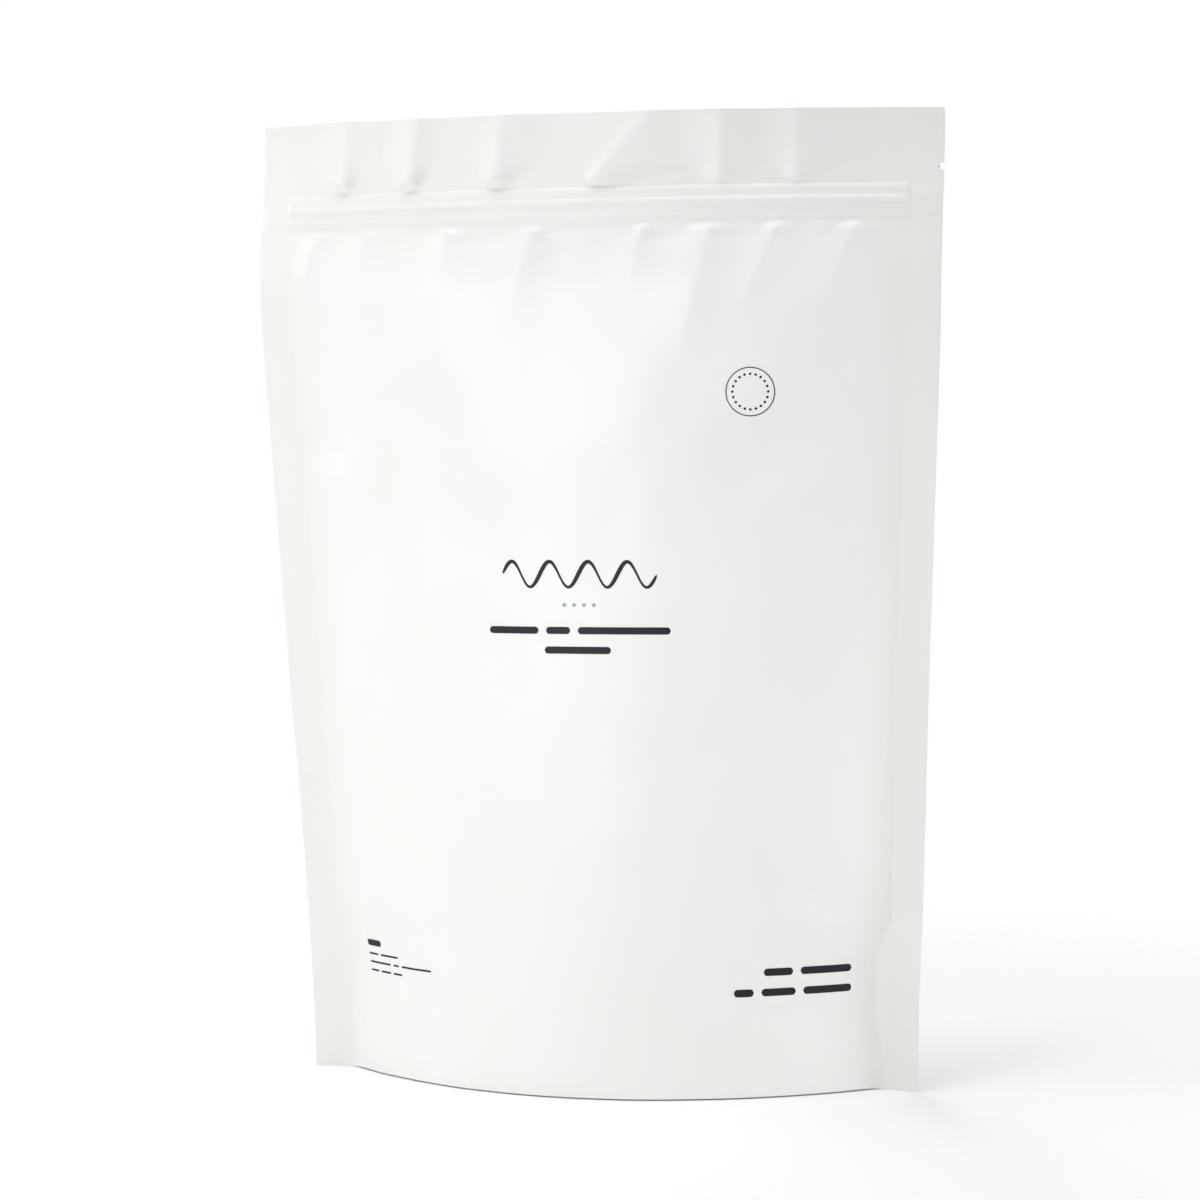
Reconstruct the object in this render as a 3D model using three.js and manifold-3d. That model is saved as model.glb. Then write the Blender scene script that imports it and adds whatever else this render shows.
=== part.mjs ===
// A filled and closed stand-up pouch of white laminate film, a refill bag for laundry powder.
// Front film, back film and gusset film are welded at the edges, and the powder fills them, so the
// bag is one solid. Millimetres, the front faces -Y, and the origin is on the floor under its middle.
import * as THREE from "three";
import { mergeVertices } from "three/addons/utils/BufferGeometryUtils.js";
import Module from "manifold-3d";

// The flat bag and how it stands
const pouchWidth = 280;
const pouchHeight = 387;
const footDepth = 96;
const leanForward = 26.6;
const leanBack = 14.1;
const leanTurnDrop = 73;
const headerBow = 20;
const bowHeight = 187;

// Welds: the side seals, the skirt round the foot and the curved seals at the foot's corners
const sealThickness = 0.8;
const sideSeal = 12.7;
const skirtHeight = 8;
const gussetHeight = 69.2;
const cornerSeal = 6.5;
const cornerPinch = 4.3;
const cornerTurn = 25;
const cornerTurnHeight = 140;
const gussetFlatWidth = 120;
const gussetFoldDrop = 8;

// The press-to-close strip, its ridge, and the header film above it
const headerHeight = 29;
const stripHeight = 14;
const stripStep = 0.5;
const stripCrush = 0.25;
const ridgeDrop = 6.6;
const ridgeWidth = 2.4;
const ridgeStep = 0.9;
const edgeRamp = 0.5;

// Tear notch in the right side seal
const notchDrop = 23;
const notchDepth = 1.8;
const notchHeight = 3;

// The powder fills the bag to a soft shoulder. Above it the slack film runs in to the strip.
const partingDrop = 6;
const slackSlope = 0.3;
const bulgePower = 1.6;
const shoulderPower = 12;
const cornerFall = 4;
const pinchPower = 1.6;
const leanPower = 1.3;
const archHeight = 150;

// Gathers fan out from the strip: each has a long flank to its left, a sharp crest and a short flank.
// A fold's crest is placed by its share of the open half width, and it leans left as it leaves the strip.
const filmPuff = 0.8;
const foldStart = 5;
const foldSharpness = 1.4;
const shortFlank = 0.35;
const frontGathers = [
  { across: -0.88, height: 2.4, fall: 26, spread: 22, lean: 0.5 },
  { across: -0.745, height: 2.5, fall: 26, spread: 14, lean: 0.2 },
  { across: -0.49, height: 3.9, fall: 56, spread: 18, lean: 0.1 },
  { across: -0.19, height: 2.7, fall: 24, spread: 16, lean: 0.4 },
  { across: 0.165, height: 2, fall: 18, spread: 12, lean: 0.3 },
  { across: 0.385, height: 3.6, fall: 50, spread: 30, lean: 0.5 },
  { across: 0.59, height: 2.8, fall: 30, spread: 18, lean: 0.6 },
  { across: 0.85, height: 2.8, fall: 34, spread: 20, lean: 0.5 },
];
const backGathers = [
  { across: -0.8, height: 2.4, fall: 28, spread: 16, lean: 0.3 },
  { across: -0.5, height: 3.4, fall: 46, spread: 22, lean: 0.3 },
  { across: -0.18, height: 2.2, fall: 24, spread: 16, lean: 0.4 },
  { across: 0.12, height: 3.1, fall: 38, spread: 20, lean: 0.2 },
  { across: 0.47, height: 3.4, fall: 50, spread: 24, lean: 0.4 },
  { across: 0.74, height: 2.2, fall: 26, spread: 16, lean: 0.4 },
  { across: 0.93, height: 2, fall: 20, spread: 12, lean: 0.3 },
];
const headerFolds = [
  { across: -0.82, height: 1.6, spread: 16, lean: -0.1 },
  { across: -0.61, height: 1.8, spread: 16, lean: 0 },
  { across: -0.33, height: 2.2, spread: 18, lean: 0 },
  { across: 0.03, height: 2.9, spread: 22, lean: -0.6 },
  { across: 0.41, height: 1.7, spread: 18, lean: -0.1 },
  { across: 0.66, height: 1.3, spread: 16, lean: 0 },
];

// Creases are soft valleys between two places, by share of the open half width and drop below the strip
const frontCreases = [
  { from: [0.02, 8], to: [-0.13, 72], width: 30, depth: 3.2 },
  { from: [0.45, 104], to: [0.92, 70], width: 34, depth: 2.4 },
  { from: [-0.5, 66], to: [-0.44, 150], width: 26, depth: 1.8 },
  { from: [-1, 86], to: [-0.72, 96], width: 24, depth: 1.8 },
  { from: [0.7, 262], to: [0.86, 274], width: 22, depth: 1.4 },
];
const backCreases = [
  { from: [-0.1, 10], to: [0.08, 78], width: 30, depth: 2.8 },
  { from: [-0.9, 72], to: [-0.5, 104], width: 30, depth: 2.2 },
  { from: [0.5, 70], to: [0.62, 142], width: 26, depth: 1.8 },
];

// Steps of the mesh along the film
const columnStep = 5;
const bodyStep = 16;
const creaseStep = 8;
const creaseZone = 112;

const openHalf = pouchWidth / 2 - sideSeal;
const stripTop = pouchHeight - headerHeight;
const stripBottom = stripTop - stripHeight;
const ridgeCentre = stripTop - ridgeDrop;
const partingHeight = stripBottom - partingDrop;
const film = sealThickness / 2;

function clamp01(value) {
  return Math.min(1, Math.max(0, value));
}

function smooth(value) {
  const t = clamp01(value);
  return t * t * (3 - 2 * t);
}

// Falls from 1 on a fold's line to 0 at the foot of its flank, with a sharp line and a soft foot
function flank(distance, width) {
  return clamp01(1 - distance / width) ** foldSharpness;
}

// The plane of the side seals leans forward as it rises and comes back through the header
function seamPlane(z) {
  const forward = leanForward * (z / pouchHeight) ** leanPower;
  const back = leanBack * smooth((z - (pouchHeight - leanTurnDrop)) / leanTurnDrop);
  return back - forward;
}

// The strip and header bow forward between the side seals
function bow(u, z) {
  const rise = smooth((z - (pouchHeight - bowHeight)) / bowHeight);
  return headerBow * rise * (1 - (2 * u / pouchWidth) ** 2);
}

// Height of the sharp-crested folds that fan out from the strip, at a distance from its edge
function foldedHeight(u, distance, folds) {
  let height = 0;
  for (const fold of folds) {
    const fade = fold.fall ? clamp01(1 - distance / fold.fall) : 1;
    const crest = fold.across * openHalf - fold.lean * distance;
    const opening = smooth(distance / foldStart);
    const spread = fold.spread * (u < crest ? 0.4 + 0.6 * opening : shortFlank);
    height += fold.height * opening * fade * flank(Math.abs(u - crest), spread);
  }
  return height;
}

// Width of the flat corner beside the side seal: its curved weld ends at the gusset's fold
function cornerWidth(z) {
  const share = clamp01(z / gussetHeight);
  const pinch = cornerPinch * Math.sin(Math.PI * share ** pinchPower);
  return cornerSeal * (1 - share ** cornerFall) + pinch;
}

function midBulge(z) {
  const filled = footDepth / 2 * (1 - (z / pouchHeight) ** bulgePower);
  const slack = slackSlope * (partingHeight - z);
  if (slack <= 0) {
    return 0;
  }
  return (filled ** -shoulderPower + slack ** -shoulderPower) ** (-1 / shoulderPower);
}

// Half angle of the arc that the film between the side seals takes with the given bulge
function arcAngle(bulge) {
  let angle = 2 * bulge / openHalf;
  for (let step = 0; step < 12; step += 1) {
    angle = bulge / openHalf * angle ** 2 / (1 - Math.cos(angle));
  }
  return angle;
}

// Film does not stretch, so it draws the side seals in as it bulges. The bulge is a round arc in the
// body and a steeper crest at the foot. The flat corners and side seals turn forward near the floor.
function section(u, z) {
  const bulge = midBulge(z);
  if (bulge < 0.01) {
    return { x: u, depth: 0, forward: 0 };
  }
  const angle = arcAngle(bulge);
  const corner = cornerWidth(z);
  const half = openHalf - corner;
  const reach = openHalf * Math.sin(angle) / angle - corner;
  const past = Math.abs(u) - half;
  if (past >= 0) {
    const turn = THREE.MathUtils.degToRad(cornerTurn) * (1 - smooth(z / cornerTurnHeight));
    return { x: Math.sign(u) * (reach + past * Math.cos(turn)), depth: 0, forward: past * Math.sin(turn) };
  }
  const share = u / half;
  const arc = (Math.cos(angle * share) - Math.cos(angle)) / (1 - Math.cos(angle));
  const crest = Math.cos(share * Math.PI / 2);
  const depth = bulge * THREE.MathUtils.lerp(crest, arc, smooth(z / archHeight));
  return { x: reach * Math.sin(angle * share) / Math.sin(angle), depth, forward: 0 };
}

// Distance across the film from a place to a straight crease
function creaseDistance(u, drop, crease) {
  const from = new THREE.Vector2(crease.from[0] * openHalf, crease.from[1]);
  const to = new THREE.Vector2(crease.to[0] * openHalf, crease.to[1]);
  const run = to.clone().sub(from);
  const point = new THREE.Vector2(u, drop).sub(from);
  const along = clamp01(point.dot(run) / run.lengthSq());
  return point.sub(run.multiplyScalar(along)).length();
}

// How far the film lies outside the plain arc: a puff and gathers under the strip, less the creases
function relief(u, z, gathers, creases) {
  const drop = stripBottom - z;
  if (drop <= 0 || Math.abs(u) >= openHalf) {
    return 0;
  }
  const inside = smooth((openHalf - Math.abs(u)) / sideSeal);
  const puff = filmPuff * smooth(drop / foldStart);
  let valleys = 0;
  for (const crease of creases) {
    valleys += crease.depth * flank(creaseDistance(u, drop, crease), crease.width / 2);
  }
  return inside * (puff + foldedHeight(u, drop, gathers) - valleys);
}

// The strip stands proud of the film, with one ridge, and is pressed flat inside the side seals
function stripRise(u, z) {
  const onStrip = clamp01((stripTop - z) / edgeRamp) * clamp01((z - stripBottom) / edgeRamp);
  if (Math.abs(u) > openHalf) {
    return stripCrush * onStrip;
  }
  const fromRidge = Math.abs(z - ridgeCentre);
  const onRidge = clamp01((ridgeWidth / 2 + edgeRamp - fromRidge) / edgeRamp);
  return stripStep * onStrip + ridgeStep * onRidge;
}

// Half the thickness of the bag at a place on its front (side -1) or its back (side 1)
function halfThickness(u, z, side) {
  const gathers = side < 0 ? frontGathers : backGathers;
  const creases = side < 0 ? frontCreases : backCreases;
  const swell = Math.max(0, section(u, z).depth + relief(u, z, gathers, creases));
  return film + swell + stripRise(u, z);
}

// The sheet half way between front and back. The header's two films fold together as one
function middlePlane(u, z) {
  const above = Math.max(0, z - stripTop);
  const inside = clamp01((pouchWidth / 2 - Math.abs(u)) / sideSeal);
  const folds = inside * foldedHeight(u, above, headerFolds);
  return seamPlane(z) - bow(u, z) - folds - section(u, z).forward;
}

function outerPlace(u, z, side) {
  return [section(u, z).x, middlePlane(u, z) + side * halfThickness(u, z, side), z];
}

// The gusset film hangs from the skirt, lies on the floor in the middle and rises to a fold at each side
const footHalf = openHalf - cornerSeal - cornerPinch;

function hemHeight(u) {
  const armHeight = gussetHeight - gussetFoldDrop * 2;
  return skirtHeight + (armHeight - skirtHeight) * (Math.abs(u) / footHalf) ** 3;
}

function foldHeight(u) {
  const rise = smooth((Math.abs(u) - gussetFlatWidth / 2) / (footHalf - gussetFlatWidth / 2));
  return (gussetHeight - gussetFoldDrop) * rise;
}

function innerHalf(u, z, side) {
  return Math.max(0, halfThickness(u, z, side) - sealThickness);
}

// Places across the gusset from back (1) to front (-1), flat between the two middle ones
const gussetStations = [1, 0.85, 0.7, 0.55, 0.2, -0.2, -0.55, -0.7, -0.85, -1];
const gussetFlatShare = 0.55;

function underside(u) {
  const x = section(u, 0).x;
  if (Math.abs(u) >= footHalf) {
    return Array.from({ length: gussetStations.length + 2 }, () => [x, middlePlane(u, 0), 0]);
  }
  const hem = hemHeight(u);
  const fold = foldHeight(u);
  const gusset = gussetStations.map((share) => {
    const climb = clamp01((Math.abs(share) - gussetFlatShare) / (1 - gussetFlatShare)) ** 1.5;
    const z = fold + (hem - fold) * climb;
    return [section(u, z).x, middlePlane(u, z) + share * innerHalf(u, hem, Math.sign(share)), z];
  });
  const backEdge = [x, middlePlane(u, 0) + innerHalf(u, 0, 1), 0];
  const frontEdge = [x, middlePlane(u, 0) - innerHalf(u, 0, -1), 0];
  return [backEdge, ...gusset, frontEdge];
}

// Even steps from one value to the next, without the last one
function steps(from, to, step) {
  const count = Math.max(1, Math.round((to - from) / step));
  return Array.from({ length: count }, (_, index) => from + (to - from) * index / count);
}

function columnPlaces() {
  const half = [
    ...steps(0, footHalf, columnStep),
    ...steps(footHalf, openHalf, columnStep * 0.6),
    openHalf,
    pouchWidth / 2,
  ];
  return [...half.slice(1).reverse().map((u) => -u), ...half];
}

function rowHeights() {
  const creaseBottom = stripBottom - creaseZone;
  const ridge = [ridgeWidth / 2 + edgeRamp, ridgeWidth / 2];
  return [
    ...steps(0, gussetHeight, bodyStep * 0.8),
    ...steps(gussetHeight, creaseBottom, bodyStep),
    ...steps(creaseBottom, partingHeight, creaseStep),
    ...steps(partingHeight, stripBottom, partingDrop / 2),
    stripBottom,
    stripBottom + edgeRamp,
    ...ridge.map((offset) => ridgeCentre - offset),
    ...ridge.reverse().map((offset) => ridgeCentre + offset),
    stripTop - edgeRamp,
    ...steps(stripTop, pouchHeight, headerHeight / 4),
    pouchHeight,
  ];
}

// One closed ring for each column: up the front, down the back, and forward under the gusset
function ringAt(u, heights) {
  const front = heights.map((z) => outerPlace(u, z, -1));
  const back = heights.map((z) => outerPlace(u, z, 1)).reverse();
  return [...front, ...back, ...underside(u)];
}

// Skins the rings from left to right, and closes the two outer edges of the side seals
function skin(rings, rowCount) {
  const size = rings[0].length;
  const positions = rings.flat(2);
  const triangles = [];
  for (let column = 0; column < rings.length - 1; column += 1) {
    for (let index = 0; index < size; index += 1) {
      const next = (index + 1) % size;
      const a = column * size + index;
      const b = column * size + next;
      const c = a + size;
      const d = b + size;
      triangles.push([a, c, b], [b, c, d]);
    }
  }
  for (const [start, turned] of [[0, false], [(rings.length - 1) * size, true]]) {
    const edge = start + 2 * rowCount;
    const faces = [[edge, start, start + 1], [edge, edge - 2, edge - 1], [edge, start + 1, edge - 2]];
    for (let row = 1; row < rowCount - 1; row += 1) {
      const front = start + row;
      const back = edge - 1 - row;
      faces.push([front, front + 1, back], [front + 1, back - 1, back]);
    }
    triangles.push(...faces.map((face) => (turned ? face.slice().reverse() : face)));
  }
  return { positions, triangles };
}

// Welds coincident points and leaves out the faces that closed up to nothing
function weld({ positions, triangles }) {
  const loose = new THREE.BufferGeometry();
  loose.setAttribute("position", new THREE.Float32BufferAttribute(positions, 3));
  loose.setIndex(triangles.flat());
  const merged = mergeVertices(loose, 1e-3);
  const index = merged.getIndex().array;
  const kept = [];
  for (let i = 0; i < index.length; i += 3) {
    const [a, b, c] = index.slice(i, i + 3);
    if (a !== b && b !== c && c !== a) {
      kept.push(a, b, c);
    }
  }
  merged.setIndex(kept);
  return merged;
}

const wasm = await Module();
wasm.setup();

function toSolid(geometry) {
  const source = geometry.clone();
  source.deleteAttribute("normal");
  source.deleteAttribute("uv");
  const merged = mergeVertices(source);
  const vertProperties = new Float32Array(merged.getAttribute("position").array);
  const triVerts = new Uint32Array(merged.getIndex().array);
  return new wasm.Manifold(new wasm.Mesh({ numProp: 3, vertProperties, triVerts }));
}

function toGeometry(solid) {
  const mesh = solid.getMesh();
  const geometry = new THREE.BufferGeometry();
  geometry.setAttribute("position", new THREE.Float32BufferAttribute(mesh.vertProperties, 3));
  geometry.setIndex(Array.from(mesh.triVerts));
  geometry.computeVertexNormals();
  return geometry;
}

// A round-ended slot through the side seal, open at the seal's outer edge
function notchCutter() {
  const radius = notchHeight / 2;
  const length = sideSeal;
  const outline = new THREE.Shape();
  outline.moveTo(length, -radius);
  outline.lineTo(length, radius);
  outline.lineTo(radius, radius);
  outline.absarc(radius, 0, radius, Math.PI / 2, 1.5 * Math.PI, false);
  const reach = 4 * sideSeal;
  const slot = new THREE.ExtrudeGeometry(outline, { depth: reach, bevelEnabled: false, curveSegments: 6 });
  slot.rotateX(Math.PI / 2);
  const height = pouchHeight - notchDrop;
  slot.translate(pouchWidth / 2 - notchDepth, seamPlane(height) + reach / 2, height);
  return slot;
}

function pouchGeometry() {
  const heights = rowHeights();
  const rings = columnPlaces().map((u) => ringAt(u, heights));
  const body = toSolid(weld(skin(rings, heights.length)));
  return toGeometry(body.subtract(toSolid(notchCutter())));
}

const whiteFilm = new THREE.MeshStandardMaterial({ color: 0xf1f1ee, roughness: 0.45, metalness: 0 });

const pouch = new THREE.Mesh(pouchGeometry(), whiteFilm);
pouch.name = "sealed_pouch";

const bag = new THREE.Group();
bag.add(pouch);

export default bag;
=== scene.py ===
import math

import bmesh
import bpy
import numpy as np
from mathutils import Matrix, Vector


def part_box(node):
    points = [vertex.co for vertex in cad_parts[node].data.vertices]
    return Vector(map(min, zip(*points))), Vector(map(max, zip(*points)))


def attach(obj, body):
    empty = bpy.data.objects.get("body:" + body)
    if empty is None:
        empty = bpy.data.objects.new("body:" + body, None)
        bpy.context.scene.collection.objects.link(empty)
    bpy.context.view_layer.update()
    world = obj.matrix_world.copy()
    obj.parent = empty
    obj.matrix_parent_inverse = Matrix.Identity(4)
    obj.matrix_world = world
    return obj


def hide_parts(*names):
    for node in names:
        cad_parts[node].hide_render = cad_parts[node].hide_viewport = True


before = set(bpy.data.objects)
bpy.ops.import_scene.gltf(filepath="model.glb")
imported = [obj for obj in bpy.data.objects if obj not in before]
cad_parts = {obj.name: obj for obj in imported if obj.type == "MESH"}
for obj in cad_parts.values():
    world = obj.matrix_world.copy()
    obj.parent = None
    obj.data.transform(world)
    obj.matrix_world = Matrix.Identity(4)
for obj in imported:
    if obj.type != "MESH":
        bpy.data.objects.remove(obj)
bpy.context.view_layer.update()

scene = bpy.context.scene

# The front film.
# One sheet of polyester laminated to white polyethylene, from the foot to the top edge of the bag. It is
# welded to the back film at both sides and over the header, and to the gusset film round the foot.
low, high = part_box("sealed_pouch")

# Sizes are in millimetres, and MM turns them into the scene's metres. The bag's outer box is as wide as
# its flat film, because the header's ends lie flat.
MM = 0.001
WIDTH = (high[0] - low[0]) / MM
HEIGHT = (high[2] - low[2]) / MM
SIDE_SEAL = 12.7
OPEN_HALF = WIDTH / 2 - SIDE_SEAL
FILM_THICKNESS = 0.18
WELD_LINE = 0.01
HALF_SEAL = FILM_THICKNESS + WELD_LINE

# The strip's profiles are welded inside, and show as a proud band with one ridge. Both have a rounded
# upper edge and round ends. They are crushed flat at the side seals, and closed at the bag's edges.
STRIP_TOP = HEIGHT - 29.0
STRIP_BOTTOM = STRIP_TOP - 14.0
STRIP_STEP = 1.0
STRIP_CRUSH = 0.55
STRIP_UPPER_RAMP = 2.2
STRIP_LOWER_RAMP = 3.0
STRIP_END_RAMP = 1.6
CRUSH_DROP = 1.6
EDGE_CLOSING = 2.5
RIDGE_TOP = STRIP_TOP - 4.6
RIDGE_BOTTOM = STRIP_TOP - 8.2
RIDGE_STEP = 0.85
RIDGE_UPPER_RAMP = 2.0
RIDGE_LOWER_RAMP = 1.6

# A tear notch with a round end is punched through the right side seal.
NOTCH_HEIGHT = HEIGHT - 23.0
NOTCH_RADIUS = 1.5
NOTCH_DEPTH = 1.8


def smooth(value):
    t = np.clip(value, 0, 1)
    return t * t * (3 - 2 * t)


# Film bends and does not stretch, so at each height it lies on an arc that keeps its flat width. The
# powder fills the bag to a soft shoulder, and the slack film above it runs in to the strip. The least
# bulge and angle keep the sums clear of zero.
FOOT_DEPTH = 96.0
FILL_POWER = 1.6
SLACK_SLOPE = 0.3
PARTING = STRIP_BOTTOM - 6.0
SHOULDER_POWER = 12
LEAST_BULGE = 1e-4
LEAST_ANGLE = 1e-3
ANGLE_ROUNDS = 12


def mid_bulge(z):
    """How far the middle of each film stands off the plane between them."""
    filled = FOOT_DEPTH / 2 * (1 - (z / HEIGHT) ** FILL_POWER)
    slack = np.maximum(SLACK_SLOPE * (PARTING - z), LEAST_BULGE)
    return (filled ** -SHOULDER_POWER + slack ** -SHOULDER_POWER) ** (-1 / SHOULDER_POWER)


def arc_angle(bulge):
    """Half the angle of the arc that a film of the open width makes when it bulges so far."""
    angle = np.maximum(2 * bulge / OPEN_HALF, LEAST_ANGLE)
    for _ in range(ANGLE_ROUNDS):
        angle = np.maximum(bulge / OPEN_HALF * angle ** 2 / (1 - np.cos(angle)), LEAST_ANGLE)
    return angle


# The corners at the foot are flat, with a curved weld that ends where the gusset's fold meets the side
# seal. Near the floor the side seals turn forward, the right one more, and the foot stands a little to
# the right. The film leaves each seal in a rounding, and its arc turns into a softer curve at the foot.
GUSSET_HEIGHT = 69.2
CORNER_SEAL = 3.0
CORNER_SEAL_POWER = 4
CORNER_PINCH = 4.0
CORNER_PINCH_POWER = 1.6
LEFT_TURN = math.radians(5)
RIGHT_TURN = math.radians(18)
CORNER_TURN_HEIGHT = 140.0
FOOT_SHIFT = 1.8
FOOT_SHIFT_HEIGHT = 190.0
SEAL_ROUNDING = 9.0
SEAL_ROUNDING_POWER = 0.6
ARCH_HEIGHT = 150.0


def section(u, z):
    """Place across, depth of the bulge and forward turn of the seals, for film place u at height z."""
    bulge = mid_bulge(z)
    angle = arc_angle(bulge)
    share_up = np.clip(z / GUSSET_HEIGHT, 0, 1)
    pinch = CORNER_PINCH * np.sin(math.pi * share_up ** CORNER_PINCH_POWER)
    corner = CORNER_SEAL * (1 - share_up ** CORNER_SEAL_POWER) + pinch
    half = OPEN_HALF - corner
    reach = OPEN_HALF * np.sin(angle) / angle - corner
    past = np.abs(u) - half
    turn = np.where(u < 0, LEFT_TURN, RIGHT_TURN) * (1 - smooth(z / CORNER_TURN_HEIGHT))
    shift = FOOT_SHIFT * (1 - smooth(z / FOOT_SHIFT_HEIGHT))
    share = np.clip(u / half, -1, 1)
    arc = (np.cos(angle * share) - np.cos(angle)) / (1 - np.cos(angle))
    crest = np.cos(share * math.pi / 2)
    arched = smooth(z / ARCH_HEIGHT)
    depth = bulge * (crest * (1 - arched) + arc * arched)
    rounding = (1 - np.exp(-np.maximum(-past, 0) / SEAL_ROUNDING)) ** SEAL_ROUNDING_POWER
    x = np.where(past > 0, np.sign(u) * (reach + past * np.cos(turn)),
                 reach * np.sin(angle * share) / np.sin(angle))
    return x + shift, depth * rounding, np.where(past > 0, past * np.sin(turn), 0)


# The side seals lean forward as they rise, and the strip and header bow forward between them.
LEAN_FORWARD = 26.6
LEAN_POWER = 1.3
LEAN_BACK = 14.1
LEAN_TURN = 73.0
HEADER_BOW = 20.0
BOW_HEIGHT = 187.0


def seam_plane(z):
    forward = LEAN_FORWARD * (z / HEIGHT) ** LEAN_POWER
    return LEAN_BACK * smooth((z - HEIGHT + LEAN_TURN) / LEAN_TURN) - forward


def bow(u, z):
    return HEADER_BOW * smooth((z - HEIGHT + BOW_HEIGHT) / BOW_HEIGHT) * (1 - (2 * u / WIDTH) ** 2)


# The film is gathered where it leaves the stiff strip. Each gather fans out from it and leans away from
# upright, with a sharp crest between two flanks. Places across are shares of the open half width. The
# header folds likewise above the strip, and its folds run on past the top edge.
FOLD_START = 4.0
FOLD_FAN = 14.0
FAN_AT_STRIP = 0.35
FOLD_SHARPNESS = 1.4
FOLD_FIELDS = ("across", "height", "fall", "left", "right", "lean")
FRONT_GATHERS = [
    (-0.87, 2.2, 32, 20, 11, 0.45), (-0.713, 1.9, 46, 15, 18, 0.06), (-0.438, 3.0, 84, 17, 22, 0.03),
    (-0.145, 2.4, 46, 26, 14, 0.32), (-0.047, 0.6, 12, 6, 6, 0.2), (0.2, 2.2, 32, 15, 12, 0.22),
    (0.408, 3.2, 64, 26, 18, 0.2), (0.613, 2.2, 40, 16, 17, 0.4), (0.754, 0.8, 16, 8, 8, 0.3),
    (0.852, 2.2, 42, 18, 14, 0.4),
]
PAST_TOP = 1000
HEADER_FOLDS = [
    (-0.803, 3.4, PAST_TOP, 18, 13, -0.1), (-0.572, 3.8, PAST_TOP, 15, 15, -0.1),
    (-0.286, 3.8, PAST_TOP, 15, 24, -0.12), (0.016, 3.2, PAST_TOP, 13, 60, -0.86),
    (0.434, 1.9, PAST_TOP, 17, 22, 0), (0.664, 1.8, PAST_TOP, 15, 23, 0),
]


def flank(distance, width):
    return np.clip(1 - distance / width, 0, 1) ** FOLD_SHARPNESS


def folds_height(u, distance, folds):
    height = np.zeros_like(u)
    fan = FAN_AT_STRIP + (1 - FAN_AT_STRIP) * smooth(distance / FOLD_FAN)
    for row in folds:
        fold = dict(zip(FOLD_FIELDS, row))
        crest = fold["across"] * OPEN_HALF - fold["lean"] * distance
        width = fan * np.where(u < crest, fold["left"], fold["right"])
        fade = np.clip(1 - distance / fold["fall"], 0, 1)
        height += fold["height"] * smooth(distance / FOLD_START) * fade * flank(np.abs(u - crest), width)
    return height


# Creases are soft valleys between two places, each given by its share of the open half width and its drop
# below the strip. A crease fades out past its ends, and its two flanks have widths of their own.
CREASE_FIELDS = ("across_0", "drop_0", "across_1", "drop_1", "left", "right", "depth")
CREASE_FADE = 0.4
FRONT_CREASES = [
    (-0.04, 20, -0.14, 66, 22, 36, 1.6), (0.52, 97, 0.86, 71, 18, 26, 1.9),
    (-0.53, 76, -0.43, 124, 17, 30, 1.7), (-0.96, 85, -0.84, 90, 13, 16, 1.4),
    (0.7, 262, 0.86, 274, 12, 12, 1.1),
]


def creases_depth(u, drop, creases):
    depth = np.zeros_like(u)
    for row in creases:
        crease = dict(zip(CREASE_FIELDS, row))
        start = np.array([crease["across_0"] * OPEN_HALF, crease["drop_0"]])
        run = np.array([crease["across_1"] * OPEN_HALF, crease["drop_1"]]) - start
        along = ((u - start[0]) * run[0] + (drop - start[1]) * run[1]) / run.dot(run)
        away = ((u - start[0]) * run[1] - (drop - start[1]) * run[0]) / math.hypot(*run)
        ends = smooth(1 + along / CREASE_FADE) * smooth(1 + (1 - along) / CREASE_FADE)
        width = np.where(away < 0, crease["left"], crease["right"])
        depth += crease["depth"] * ends * smooth(1 - np.abs(away) / width)
    return depth


# Powder and slack leave slow, slight waves all over the film. Each is shorter and lower than the one
# before, and turned on from it.
WAVE_COUNT = 8
WAVE_LENGTH = 95.0
WAVE_SHORTENING = 0.45
WAVE_HEIGHT = 0.22
WAVE_LOWERING = 0.5
WAVE_TURN = 2.4
WAVE_START = 1.7
WAVE_UPRIGHT_SHARE = 0.6


def waves(u, z, side):
    total = np.zeros_like(u)
    for number in range(1, WAVE_COUNT + 1):
        turn = WAVE_TURN * number + side
        length = WAVE_LENGTH / (1 + WAVE_SHORTENING * number)
        along = (u * math.cos(turn) + WAVE_UPRIGHT_SHARE * z * math.sin(turn)) / length
        total += np.sin(2 * math.pi * along + WAVE_START * number) / (1 + WAVE_LOWERING * number)
    return WAVE_HEIGHT * total


# Below the strip the film puffs out a little, and the waves begin.
PUFF = 0.8
WAVES_BELOW_STRIP = 30.0


def relief(u, z, side, gathers, creases):
    """How far the film stands off its smooth arc. The front is side -1, and the back side 1."""
    drop = STRIP_BOTTOM - z
    inside = smooth((OPEN_HALF - np.abs(u)) / SIDE_SEAL)
    lifted = PUFF * smooth(drop / FOLD_START) + waves(u, z, side) * smooth(drop / WAVES_BELOW_STRIP)
    gathered = folds_height(u, np.maximum(drop, 0), gathers) - creases_depth(u, drop, creases)
    return np.where(drop > 0, inside * (lifted + gathered), 0)


def round_edge(value):
    """Rises at once, then more and more slowly, as film does over a rounded edge."""
    return 1 - (1 - np.clip(value, 0, 1)) ** 2


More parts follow.
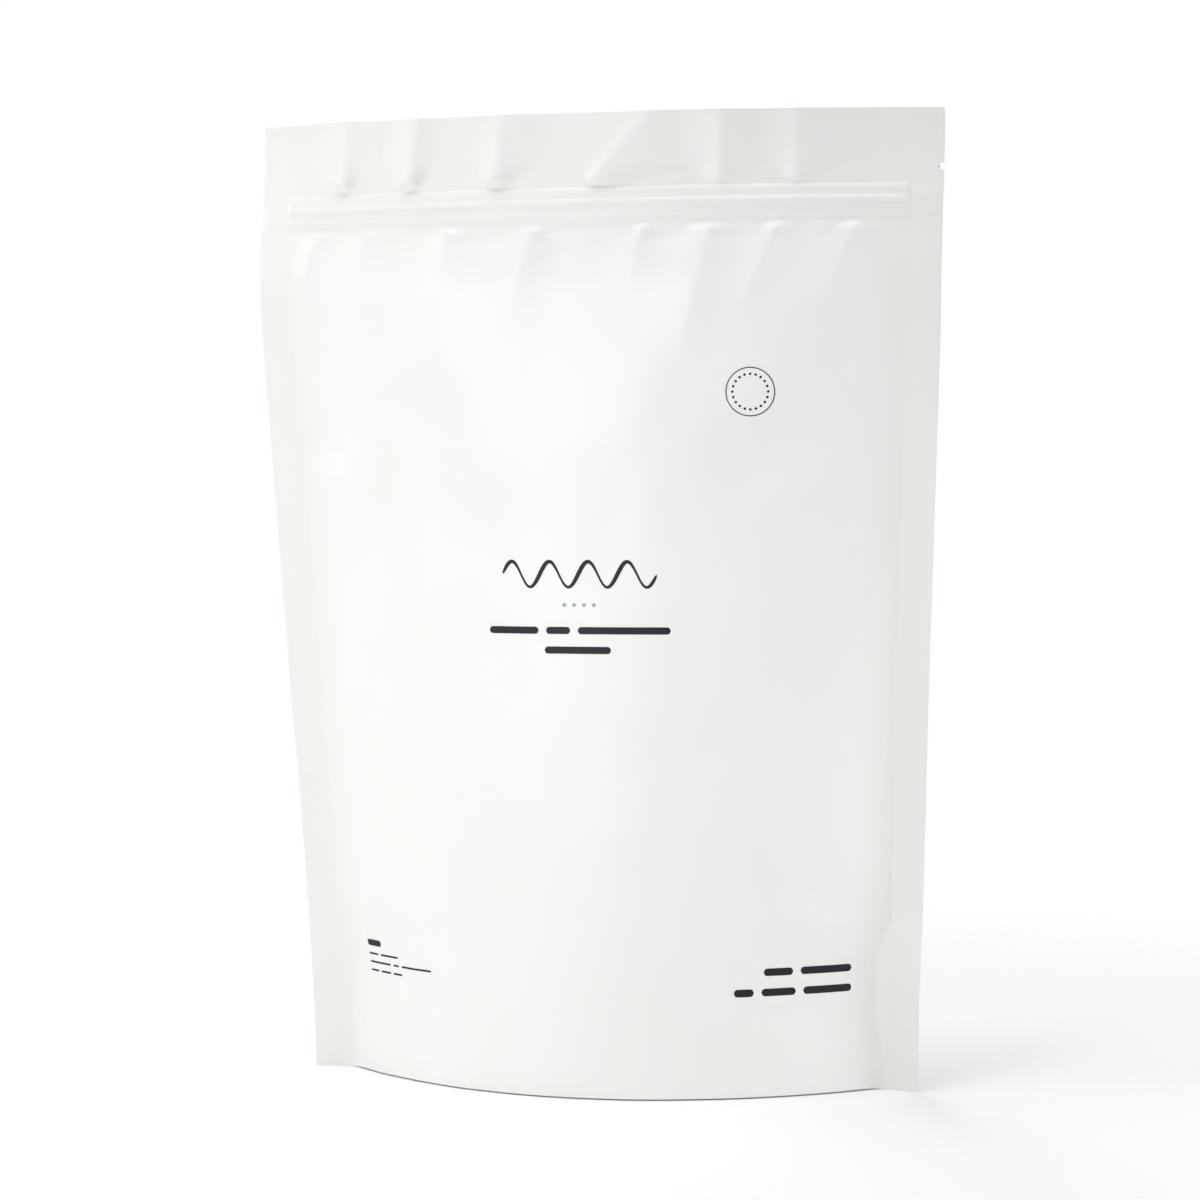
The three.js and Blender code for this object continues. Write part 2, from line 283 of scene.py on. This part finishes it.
def strip_rise(u, z):
    """How far the film stands off over the strip's band and its ridge."""
    end = smooth((OPEN_HALF + STRIP_END_RAMP / 2 - np.abs(u)) / STRIP_END_RAMP)
    edge = smooth((WIDTH / 2 - np.abs(u)) / EDGE_CLOSING)
    from_top = STRIP_TOP - CRUSH_DROP * (1 - end) - z
    band = round_edge(from_top / STRIP_UPPER_RAMP) * smooth((z - STRIP_BOTTOM) / STRIP_LOWER_RAMP)
    ridge = round_edge((RIDGE_TOP - z) / RIDGE_UPPER_RAMP) * smooth((z - RIDGE_BOTTOM) / RIDGE_LOWER_RAMP)
    return edge * band * (STRIP_CRUSH + (STRIP_STEP - STRIP_CRUSH) * end) + RIDGE_STEP * ridge * end


def middle(u, z):
    """The plane half way between front and back. The header's two films fold together as one."""
    inside = np.clip((WIDTH / 2 - np.abs(u)) / SIDE_SEAL, 0, 1)
    folds = inside * folds_height(u, np.maximum(z - STRIP_TOP, 0), HEADER_FOLDS)
    return seam_plane(z) - bow(u, z) - folds - section(u, z)[2]


def half_thickness(u, z, side, gathers, creases):
    """How far the outer face of one film stands off the middle plane."""
    swell = np.maximum(section(u, z)[1] + relief(u, z, side, gathers, creases), 0)
    return HALF_SEAL + swell + strip_rise(u, z)


# The bag stands on its gusset, so between the corners the skirt's lower edge is just clear of the floor.
SKIRT = 8.0
SKIRT_GAP = 0.6


def skirt_lift(u, z):
    return SKIRT_GAP * smooth((OPEN_HALF - np.abs(u)) / SIDE_SEAL) * (1 - smooth(z / SKIRT))


def front_place(u, z, proud=0.0):
    """Places in metres of film places (u, z) on the front of the bag."""
    thickness = half_thickness(u, z, -1, FRONT_GATHERS, FRONT_CREASES)
    return np.stack([section(u, z)[0], middle(u, z) - thickness - proud, z + skirt_lift(u, z)], axis=1) * MM


# Columns of points lie this far apart, and a point this close to a seam counts as on it.
COLUMN_STEP = 1.6
SAME_PLACE = 0.05


def flat_sheet(width, row_heights, seams_across):
    """A flat sheet of film in the XY plane, in millimetres, with lines of points along its welds."""
    bm = bmesh.new()
    row_count = len(row_heights) - 1
    bmesh.ops.create_grid(bm, x_segments=round(width / COLUMN_STEP), y_segments=row_count, size=0.5)
    for vert in bm.verts:
        vert.co.x *= width
        vert.co.y = row_heights[round((vert.co.y + 0.5) * row_count)]
    for place in seams_across:
        bmesh.ops.bisect_plane(bm, geom=bm.verts[:] + bm.edges[:] + bm.faces[:], dist=SAME_PLACE,
                               plane_co=(place, 0, 0), plane_no=(1, 0, 0))
    return bm


def keep_flat_place(bm):
    """The piece's UV map: its place on the flat sheet, in heights of the bag, from the middle of the foot."""
    layer = bm.loops.layers.uv.new("flat_film")
    for face in bm.faces:
        for loop in face.loops:
            loop[layer].uv = (0.5 + loop.vert.co.x / HEIGHT, loop.vert.co.y / HEIGHT)


def film_places(bm):
    flat = np.array([vert.co[:2] for vert in bm.verts])
    return flat[:, 0], flat[:, 1]


def move_film(bm, places):
    for vert, place in zip(bm.verts, places):
        vert.co = place


def linear(colour):
    """An sRGB hex colour as linear red, green and blue, with alpha 1."""
    parts = [int(colour[index:index + 2], 16) / 255 for index in (1, 3, 5)]
    return [part / 12.92 if part <= 0.04045 else ((part + 0.055) / 1.055) ** 2.4 for part in parts] + [1]


def add_node(tree, kind, inputs=None, **settings):
    """Adds a node with its settings. An input is given a value, or linked to another node's output."""
    node = tree.nodes.new(kind)
    for key, value in settings.items():
        setattr(node, key, value)
    for key, value in (inputs or {}).items():
        if isinstance(value, bpy.types.NodeSocket):
            tree.links.new(value, node.inputs[key])
        else:
            node.inputs[key].default_value = value
    return node


# A Mix node's sockets for colours go by number, because those for values have the same names.
COLOUR_1 = 6
COLOUR_2 = 7
MIXED_COLOUR = 2


def new_tree(owner):
    owner.use_nodes = True
    owner.node_tree.nodes.clear()
    return owner.node_tree


# Matt white laminate film: a broad, soft gloss and a very fine grain. Powder lies white behind it in the
# body, so it looks a little brighter there than in the header and the welded seals, which have none. Its
# matt varnish has an IOR of about 1.5. The grain's and the mottle's scales are in millimetres.
FILM_WHITE = "#F5F5F3"
FILM_MOTTLE = "#F1F1EE"
HEADER_WHITE = "#ECECE9"
SEAL_WHITE = "#EFEEEB"
SEAL_FADE = 16.0
HEADER_FADE = 40.0
FILM_ROUGHNESS = 0.42
FILM_IOR = 1.5
GRAIN = 0.7
GRAIN_DEPTH = 0.05
GRAIN_STRENGTH = 0.12
MOTTLE = 45.0

film = bpy.data.materials.new("matt_laminate_film")
tree = new_tree(film)
place = add_node(tree, "ShaderNodeTexCoord").outputs["Object"]
mottle = add_node(tree, "ShaderNodeTexNoise", {"Vector": place, "Scale": 1 / (MOTTLE * MM), "Detail": 3.0})
white = add_node(tree, "ShaderNodeMix",
                 {"Factor": mottle.outputs["Fac"], COLOUR_1: linear(FILM_WHITE),
                  COLOUR_2: linear(FILM_MOTTLE)}, data_type="RGBA").outputs[MIXED_COLOUR]
flat_place = add_node(tree, "ShaderNodeUVMap", uv_map="flat_film").outputs["UV"]
flat_parts = add_node(tree, "ShaderNodeSeparateXYZ", {"Vector": flat_place})
in_header = add_node(tree, "ShaderNodeMapRange",
                     {"Value": flat_parts.outputs["Y"], "From Min": (STRIP_TOP - HEADER_FADE) / HEIGHT,
                      "From Max": STRIP_TOP / HEIGHT}).outputs[0]
body = add_node(tree, "ShaderNodeMix", {"Factor": in_header, COLOUR_1: white, COLOUR_2: linear(HEADER_WHITE)},
                data_type="RGBA").outputs[MIXED_COLOUR]
from_middle = add_node(tree, "ShaderNodeMath", {0: flat_parts.outputs["X"], 1: 0.5},
                       operation="SUBTRACT").outputs[0]
distance = add_node(tree, "ShaderNodeMath", {0: from_middle}, operation="ABSOLUTE").outputs[0]
in_seal = add_node(tree, "ShaderNodeMapRange",
                   {"Value": distance, "From Min": (OPEN_HALF - SEAL_FADE) / HEIGHT,
                    "From Max": OPEN_HALF / HEIGHT}).outputs[0]
colour = add_node(tree, "ShaderNodeMix", {"Factor": in_seal, COLOUR_1: body, COLOUR_2: linear(SEAL_WHITE)},
                  data_type="RGBA").outputs[MIXED_COLOUR]
grain = add_node(tree, "ShaderNodeTexNoise", {"Vector": place, "Scale": 1 / (GRAIN * MM), "Detail": 2.0})
bump = add_node(tree, "ShaderNodeBump", {"Height": grain.outputs["Fac"], "Strength": GRAIN_STRENGTH,
                                         "Distance": GRAIN_DEPTH * MM})
surface = add_node(tree, "ShaderNodeBsdfPrincipled",
                   {"Base Color": colour, "Roughness": FILM_ROUGHNESS, "IOR": FILM_IOR,
                    "Normal": bump.outputs[0]})
add_node(tree, "ShaderNodeOutputMaterial", {"Surface": surface.outputs[0]})


def finish_piece(bm, name, material, thickness=0.0):
    """Makes a piece of a formed sheet. It rides on the bag and stands for its solid."""
    for face in bm.faces:
        face.smooth = True
    for edge in bm.edges:
        edge.smooth = not edge.is_boundary
    mesh = bpy.data.meshes.new(name)
    bm.to_mesh(mesh)
    bm.free()
    mesh.materials.append(material)
    piece = bpy.data.objects.new(name, mesh)
    scene.collection.objects.link(piece)
    if thickness:
        wall = piece.modifiers.new("film_thickness", "SOLIDIFY")
        wall.thickness = thickness * MM
        wall.offset = -1
    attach(piece, "root")
    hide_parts("sealed_pouch")
    return piece


def steps(low_end, high_end, step):
    """Even places from the low end up to, but not on, the high end."""
    return np.linspace(low_end, high_end, max(1, round((high_end - low_end) / step)), endpoint=False)


# Rows of points lie closest where the film bends most: in the slack, over the strip and round the notch.
SLACK_FROM = 200.0
BODY_ROWS = 3.0
SLACK_ROWS = 1.3
STRIP_ROWS = 0.5
STRIP_MARGIN = 1.0
NOTCH_ROWS = 0.25
HEADER_ROWS = 1.5
ON_EDGE = 0.01


def panel_sheet():
    """The flat front or back sheet, with close rows of points at the strip and a notched right edge."""
    strip_from = STRIP_BOTTOM - STRIP_MARGIN
    strip_to = STRIP_TOP + STRIP_MARGIN
    notch_from = NOTCH_HEIGHT - NOTCH_RADIUS
    notch_to = NOTCH_HEIGHT + NOTCH_RADIUS
    rows = [*steps(0, SLACK_FROM, BODY_ROWS), *steps(SLACK_FROM, strip_from, SLACK_ROWS),
            *steps(strip_from, strip_to, STRIP_ROWS), *steps(strip_to, notch_from, SLACK_ROWS),
            *steps(notch_from, notch_to, NOTCH_ROWS), *steps(notch_to, HEIGHT, HEADER_ROWS), HEIGHT]
    strip_ends = [OPEN_HALF + STRIP_END_RAMP * share for share in (-0.5, -0.25, 0, 0.25, 0.5)]
    bm = flat_sheet(WIDTH, rows, [-end for end in strip_ends] + strip_ends)
    keep_flat_place(bm)
    for vert in bm.verts:
        if vert.co.x > WIDTH / 2 - ON_EDGE:
            open_share = max(0.0, 1 - ((vert.co.y - NOTCH_HEIGHT) / NOTCH_RADIUS) ** 2)
            vert.co.x -= NOTCH_DEPTH * math.sqrt(open_share)
    return bm


front = panel_sheet()
move_film(front, front_place(*film_places(front)))
finish_piece(front, "front_film", film, FILM_THICKNESS)

# The back film.
# The same sheet behind, welded to the front film at the sides and over the header, and to the back of
# the gusset film at the foot. Its own gathers and creases follow the powder behind.
BACK_GATHERS = [
    (-0.8, 2.4, 38, 14, 16, 0.3), (-0.5, 3.4, 56, 20, 16, 0.3), (-0.18, 2.2, 30, 14, 14, 0.4),
    (0.12, 3.1, 48, 16, 20, 0.2), (0.47, 3.4, 60, 22, 18, 0.4), (0.74, 2.2, 34, 14, 14, 0.4),
    (0.93, 2.0, 24, 10, 10, 0.3),
]
BACK_CREASES = [
    (-0.06, 22, 0.06, 68, 20, 30, 2.2), (-0.86, 74, -0.5, 102, 18, 24, 2.0),
    (0.5, 78, 0.6, 126, 28, 16, 1.7),
]


def back_place(u, z):
    thickness = half_thickness(u, z, 1, BACK_GATHERS, BACK_CREASES)
    return np.stack([section(u, z)[0], middle(u, z) + thickness, z + skirt_lift(u, z)], axis=1) * MM


back = panel_sheet()
move_film(back, back_place(*film_places(back)))
bmesh.ops.reverse_faces(back, faces=back.faces)
finish_piece(back, "back_film", film, FILM_THICKNESS)

# The gusset film.
# One sheet folded in between front and back at the foot. It is welded to them along the skirt and the
# curved corner seals, lies on the floor in the middle, and rises to its fold at each side seal.

# The weld's upper line, the hem, climbs from the skirt to the fold's height at the side seals. From there
# the film hangs down to the floor, and a flat share of it lies on each side of the fold.
FLAT_HALF = 60.0
FLAT_SHARE = 0.55
HEM_POWER = 3
CLIMB_POWER = 1.5
LEAST_CLIMB = 0.1
LEAST_WALL = 0.02
GUSSET_LIFT = 0.05
GUSSET_ROWS = 2.0
GUSSET_INSET = 0.5


def gusset_place(u, from_fold):
    """Places of gusset film, from its distance to the fold: below 0 to the front, above to the back."""
    side = np.where(from_fold < 0, -1, 1)
    sheet_height = GUSSET_HEIGHT - np.abs(from_fold)
    share_out = np.abs(u) / OPEN_HALF
    hem = SKIRT + (GUSSET_HEIGHT - SKIRT) * np.clip(share_out, 0, 1) ** HEM_POWER
    fold = GUSSET_HEIGHT * smooth((np.abs(u) - FLAT_HALF) / (OPEN_HALF - FLAT_HALF))
    share = np.clip(np.abs(from_fold) / np.maximum(GUSSET_HEIGHT - hem, LEAST_CLIMB), 0, 1)
    climb = np.clip((share - FLAT_SHARE) / (1 - FLAT_SHARE), 0, 1) ** CLIMB_POWER
    welded = sheet_height <= hem
    lifted = sheet_height + skirt_lift(u, sheet_height)
    z = np.where(welded, lifted, np.maximum(fold + (hem - fold) * climb, 0))
    wall_height = np.where(welded, sheet_height, hem)
    front_wall = half_thickness(u, wall_height, -1, FRONT_GATHERS, FRONT_CREASES)
    back_wall = half_thickness(u, wall_height, 1, BACK_GATHERS, BACK_CREASES)
    wall = np.maximum(np.where(side < 0, front_wall, back_wall) - HALF_SEAL, LEAST_WALL)
    y = middle(u, z) + side * wall * np.where(welded, 1, share)
    return np.stack([section(u, z)[0], y, z + GUSSET_LIFT], axis=1) * MM


gusset_rows = [*steps(-GUSSET_HEIGHT, GUSSET_HEIGHT, GUSSET_ROWS), GUSSET_HEIGHT]
gusset = flat_sheet(WIDTH - 2 * GUSSET_INSET, gusset_rows, (-OPEN_HALF, OPEN_HALF))
keep_flat_place(gusset)
move_film(gusset, gusset_place(*film_places(gusset)))
bmesh.ops.recalc_face_normals(gusset, faces=gusset.faces)
finish_piece(gusset, "gusset_film", film)

# The print.
# Plain marks on the front in one dark ink and one pale ink: a wavy stroke, a row of dots, bars in rows,
# and a ring with dots. Ink is a thin, matt coat on the film. It soaks up most of the light on it, and
# leaves a faint speckle, finer than a millimetre, where it lies thinner.
INK_DARK = "#0B1016"
INK_PALE = "#93A79F"
INK_ROUGHNESS = 0.5
INK_IOR = 1.5
INK_SPECULAR = 0.25
INK_PROUD = 0.07
INK_SPECKLE = 0.5
THIN_INK_GAIN = 1.25
THIN_INK_LIFT = 0.01


def ink(name, colour):
    material = bpy.data.materials.new(name)
    tree = new_tree(material)
    place = add_node(tree, "ShaderNodeTexCoord").outputs["Object"]
    speckle = add_node(tree, "ShaderNodeTexNoise",
                       {"Vector": place, "Scale": 1 / (INK_SPECKLE * MM), "Detail": 2.0})
    thin = [part * THIN_INK_GAIN + THIN_INK_LIFT for part in linear(colour)[:3]] + [1]
    tone = add_node(tree, "ShaderNodeMix",
                    {"Factor": speckle.outputs["Fac"], COLOUR_1: linear(colour), COLOUR_2: thin},
                    data_type="RGBA").outputs[MIXED_COLOUR]
    surface = add_node(tree, "ShaderNodeBsdfPrincipled",
                       {"Base Color": tone, "Roughness": INK_ROUGHNESS, "IOR": INK_IOR,
                        "Specular IOR Level": INK_SPECULAR})
    add_node(tree, "ShaderNodeOutputMaterial", {"Surface": surface.outputs[0]})
    return material


# How finely the marks are cut, and how the stroke ends and swells.
BAR_STEP = 0.5
FEWEST_BAR_STEPS = 8
DOT_SIDES = 20
RING_SIDES = 96
STROKE_STEPS = 200
STROKE_END_POWER = 24
STROKE_SWELL = 0.35
STROKE_SWELL_TURN = 1.2


def bar(bm, x, z, length, height):
    """A bar with round ends, from x to x + length, centred on z."""
    columns = max(FEWEST_BAR_STEPS, round(length / BAR_STEP))
    made = bmesh.ops.create_grid(bm, x_segments=columns, y_segments=2, size=0.5)
    for vert in made["verts"]:
        from_end = (0.5 - abs(vert.co.x)) * length
        into_end = max(0.0, 1 - from_end / (height / 2))
        vert.co.y = z + vert.co.y * height * math.sqrt(max(0.0, 1 - into_end ** 2))
        vert.co.x = x + length * (0.5 + vert.co.x)


def row_of_bars(bm, x, z, lengths, height, gap):
    for length in lengths:
        bar(bm, x, z, length, height)
        x += length + gap


def dot(bm, x, z, radius):
    made = bmesh.ops.create_circle(bm, cap_ends=True, cap_tris=True, segments=DOT_SIDES, radius=radius)
    bmesh.ops.translate(bm, vec=(x, z, 0), verts=made["verts"])


def ring(bm, x, z, radius, line):
    rims = []
    for rim_radius in (radius, radius - line):
        made = bmesh.ops.create_circle(bm, segments=RING_SIDES, radius=rim_radius)
        rims += list({edge for vert in made["verts"] for edge in vert.link_edges})
    bridged = bmesh.ops.bridge_loops(bm, edges=rims)
    verts = list({vert for face in bridged["faces"] for vert in face.verts})
    bmesh.ops.translate(bm, vec=(x, z, 0), verts=verts)


def wavy_stroke(bm, x, z, length, wave_count, swing, line):
    """A stroke that swings up and down, thicker on its way down, with round ends."""
    made = bmesh.ops.create_grid(bm, x_segments=STROKE_STEPS, y_segments=4, size=0.5)
    for vert in made["verts"]:
        share = vert.co.x + 0.5
        turn = 2 * math.pi * wave_count * share
        taper = math.sqrt(max(0.0, 1 - abs(2 * share - 1) ** STROKE_END_POWER))
        thickness = line * taper * (1 + STROKE_SWELL * math.sin(turn + STROKE_SWELL_TURN))
        slope = swing * 2 * math.pi * wave_count / length * math.cos(turn)
        lean = math.sqrt(1 + slope ** 2)
        offset = vert.co.y * thickness
        vert.co.x = x + length * share - offset * slope / lean
        vert.co.y = z + swing * math.sin(turn) + offset / lean


def lay_print(bm, name, material):
    bmesh.ops.recalc_face_normals(bm, faces=bm.faces)
    for face in bm.faces:
        if face.normal.z < 0:
            face.normal_flip()
    u, z = film_places(bm)
    move_film(bm, front_place(u, z, INK_PROUD))
    finish_piece(bm, name, material)


# The places of the marks on the flat film, in millimetres across from the middle and up from the foot.
STROKE = {"x": -31.5, "z": 206, "length": 63, "wave_count": 4, "swing": 5.0, "line": 1.3}
BAR_ROWS = [
    {"x": -37, "z": 184, "lengths": (21, 10, 37), "height": 2.8, "gap": 3},
    {"x": -13.5, "z": 176.3, "lengths": (27,), "height": 2.8, "gap": 3},
    {"x": -110, "z": 53.6, "lengths": (10,), "height": 2.6, "gap": 2},
    {"x": -109.6, "z": 49, "lengths": (7, 12), "height": 0.8, "gap": 1.5},
    {"x": -109.2, "z": 45.6, "lengths": (15, 4, 18), "height": 0.8, "gap": 1.5},
    {"x": -108.8, "z": 42.2, "lengths": (6, 7, 6), "height": 0.8, "gap": 1.5},
    {"x": 72.5, "z": 49.7, "lengths": (12, 22), "height": 3.0, "gap": 3},
    {"x": 60.5, "z": 41.7, "lengths": (8, 14, 21), "height": 3.0, "gap": 3},
]
RING = {"x": 68, "z": 277, "radius": 9.6, "line": 0.4}
RING_DOTS = 20
RING_DOTS_RADIUS = 6.9
RING_DOT = 0.5
PALE_DOTS = {"x": -5.5, "z": 194, "count": 4, "pitch": 4, "radius": 0.75}

marks = bmesh.new()
wavy_stroke(marks, **STROKE)
for bar_row in BAR_ROWS:
    row_of_bars(marks, **bar_row)
ring(marks, **RING)
for step in range(RING_DOTS):
    turn = 2 * math.pi * step / RING_DOTS
    dot(marks, RING["x"] + RING_DOTS_RADIUS * math.cos(turn), RING["z"] + RING_DOTS_RADIUS * math.sin(turn),
        RING_DOT)
lay_print(marks, "printed_marks", ink("dark_printing_ink", INK_DARK))

dots = bmesh.new()
for step in range(PALE_DOTS["count"]):
    dot(dots, PALE_DOTS["x"] + PALE_DOTS["pitch"] * step, PALE_DOTS["z"], PALE_DOTS["radius"])
lay_print(dots, "printed_dots", ink("pale_printing_ink", INK_PALE))

# The floor.
# A pale, matt floor that runs out of sight. Seen by the camera it is lifted towards white, and is all
# white far away from the bag. It keeps the bag's shadow. Its sizes are in metres.
FLOOR_HALF = 6
FLOOR_GREY = 0.92
FLOOR_LIFT = 0.09
WHITE_FROM = 0.12
WHITE_BY = 0.6

floor_material = bpy.data.materials.new("pale_floor")
tree = new_tree(floor_material)
place = add_node(tree, "ShaderNodeTexCoord").outputs["Object"]
away = add_node(tree, "ShaderNodeVectorMath", {0: place}, operation="LENGTH").outputs["Value"]
fade = add_node(tree, "ShaderNodeMapRange", {"Value": away, "From Min": WHITE_FROM, "From Max": WHITE_BY},
                interpolation_type="SMOOTHSTEP").outputs[0]
seen = add_node(tree, "ShaderNodeLightPath").outputs["Is Camera Ray"]
whitened = add_node(tree, "ShaderNodeMath", {0: fade, 1: seen}, operation="MULTIPLY").outputs[0]
lifted = add_node(tree, "ShaderNodeMath", {0: seen, 1: FLOOR_LIFT}, operation="MULTIPLY").outputs[0]
diffuse = add_node(tree, "ShaderNodeBsdfDiffuse", {"Color": (FLOOR_GREY, FLOOR_GREY, FLOOR_GREY, 1)})
lift = add_node(tree, "ShaderNodeEmission", {"Strength": lifted})
lit = add_node(tree, "ShaderNodeAddShader", {0: diffuse.outputs[0], 1: lift.outputs[0]})
white = add_node(tree, "ShaderNodeEmission", {"Strength": 1.0})
surface = add_node(tree, "ShaderNodeMixShader", {0: whitened, 1: lit.outputs[0], 2: white.outputs[0]})
add_node(tree, "ShaderNodeOutputMaterial", {"Surface": surface.outputs[0]})

floor_sheet = bmesh.new()
bmesh.ops.create_grid(floor_sheet, x_segments=1, y_segments=1, size=FLOOR_HALF)
floor_mesh = bpy.data.meshes.new("floor")
floor_sheet.to_mesh(floor_mesh)
floor_sheet.free()
floor_mesh.materials.append(floor_material)
floor = bpy.data.objects.new("floor", floor_mesh)
scene.collection.objects.link(floor)

# The studio light.
# White walls all round, seen as white. One softbox stands close by in front, one to the left and one to
# the right, one hangs overhead, and two stand behind for the back and the floor. A small one by the floor
# on the right stands in for the light that the white floor throws back.
ROOM_LIGHT = 0.2

# Azimuths are in degrees, lengths in metres and powers in watts.
SOFTBOXES = {
    "key": {"azimuth": -18, "height": 0.32, "distance": 0.8, "size": 0.35, "power": 2.2},
    "left": {"azimuth": -72, "height": 0.5, "distance": 1.2, "size": 0.6, "power": 2.3},
    "right": {"azimuth": 98, "height": 0.4, "distance": 1.75, "size": 0.9, "power": 8.0},
    "rear": {"azimuth": -112, "height": 0.7, "distance": 1.6, "size": 0.8, "power": 4.0},
    "back": {"azimuth": -148, "height": 0.9, "distance": 1.7, "size": 0.9, "power": 13.0},
    "top": {"azimuth": -20, "height": 1.45, "distance": 0.25, "size": 0.8, "power": 8.6},
    "low": {"azimuth": 72, "height": 0.06, "distance": 0.62, "size": 0.3, "power": 0.7},
}

world = bpy.data.worlds.new("studio")
scene.world = world
tree = new_tree(world)
rays = add_node(tree, "ShaderNodeLightPath")
shown = add_node(tree, "ShaderNodeMath", {0: rays.outputs["Is Camera Ray"], 1: rays.outputs["Is Glossy Ray"]},
                 operation="MAXIMUM").outputs[0]
strength = add_node(tree, "ShaderNodeMapRange",
                    {"Value": shown, "To Min": ROOM_LIGHT, "To Max": 1.0}).outputs[0]
backdrop = add_node(tree, "ShaderNodeBackground", {"Color": (1, 1, 1, 1), "Strength": strength})
add_node(tree, "ShaderNodeOutputWorld", {"Surface": backdrop.outputs[0]})


def softbox(name, azimuth, height, distance, size, power):
    """A square lamp that faces the bag. Azimuth 0 is in front, and positive to the right."""
    lamp = bpy.data.lights.new(name, "AREA")
    lamp.shape = "SQUARE"
    lamp.size = size
    lamp.energy = power
    turn = math.radians(azimuth)
    place = Vector((distance * math.sin(turn), -distance * math.cos(turn), height))
    bag_middle = Vector((0, 0, HEIGHT * MM / 2))
    aim = (bag_middle - place).to_track_quat("-Z", "Y").to_matrix().to_4x4()
    holder = bpy.data.objects.new(name, lamp)
    holder.matrix_world = Matrix.Translation(place) @ aim
    scene.collection.objects.link(holder)


for softbox_name, settings in SOFTBOXES.items():
    softbox(softbox_name + "_softbox", **settings)

# The camera.
# It stands a little to the right of the front and looks slightly down, as the photograph's did.
AZIMUTH = math.radians(14.79)
DISTANCE = 1.376
EYE_HEIGHT = 0.2509
PITCH = math.radians(2.36)
ROLL = math.radians(-0.271)
SENSOR = 36
FOCAL_PIXELS = 3406.1
FRAME_PIXELS = 1200
AXIS_PIXEL = 606.4

camera_data = bpy.data.cameras.new("camera")
camera_data.sensor_width = SENSOR
camera_data.lens = SENSOR * FOCAL_PIXELS / FRAME_PIXELS
camera_data.shift_x = (FRAME_PIXELS / 2 - AXIS_PIXEL) / FRAME_PIXELS
camera = bpy.data.objects.new("camera", camera_data)
eye = Vector((DISTANCE * math.sin(AZIMUTH), -DISTANCE * math.cos(AZIMUTH), EYE_HEIGHT))
aim = (Matrix.Rotation(AZIMUTH, 4, "Z") @ Matrix.Rotation(math.pi / 2 - PITCH, 4, "X")
       @ Matrix.Rotation(ROLL, 4, "Z"))
camera.matrix_world = Matrix.Translation(eye) @ aim
scene.collection.objects.link(camera)
scene.camera = camera
scene.view_settings.view_transform = "Standard"
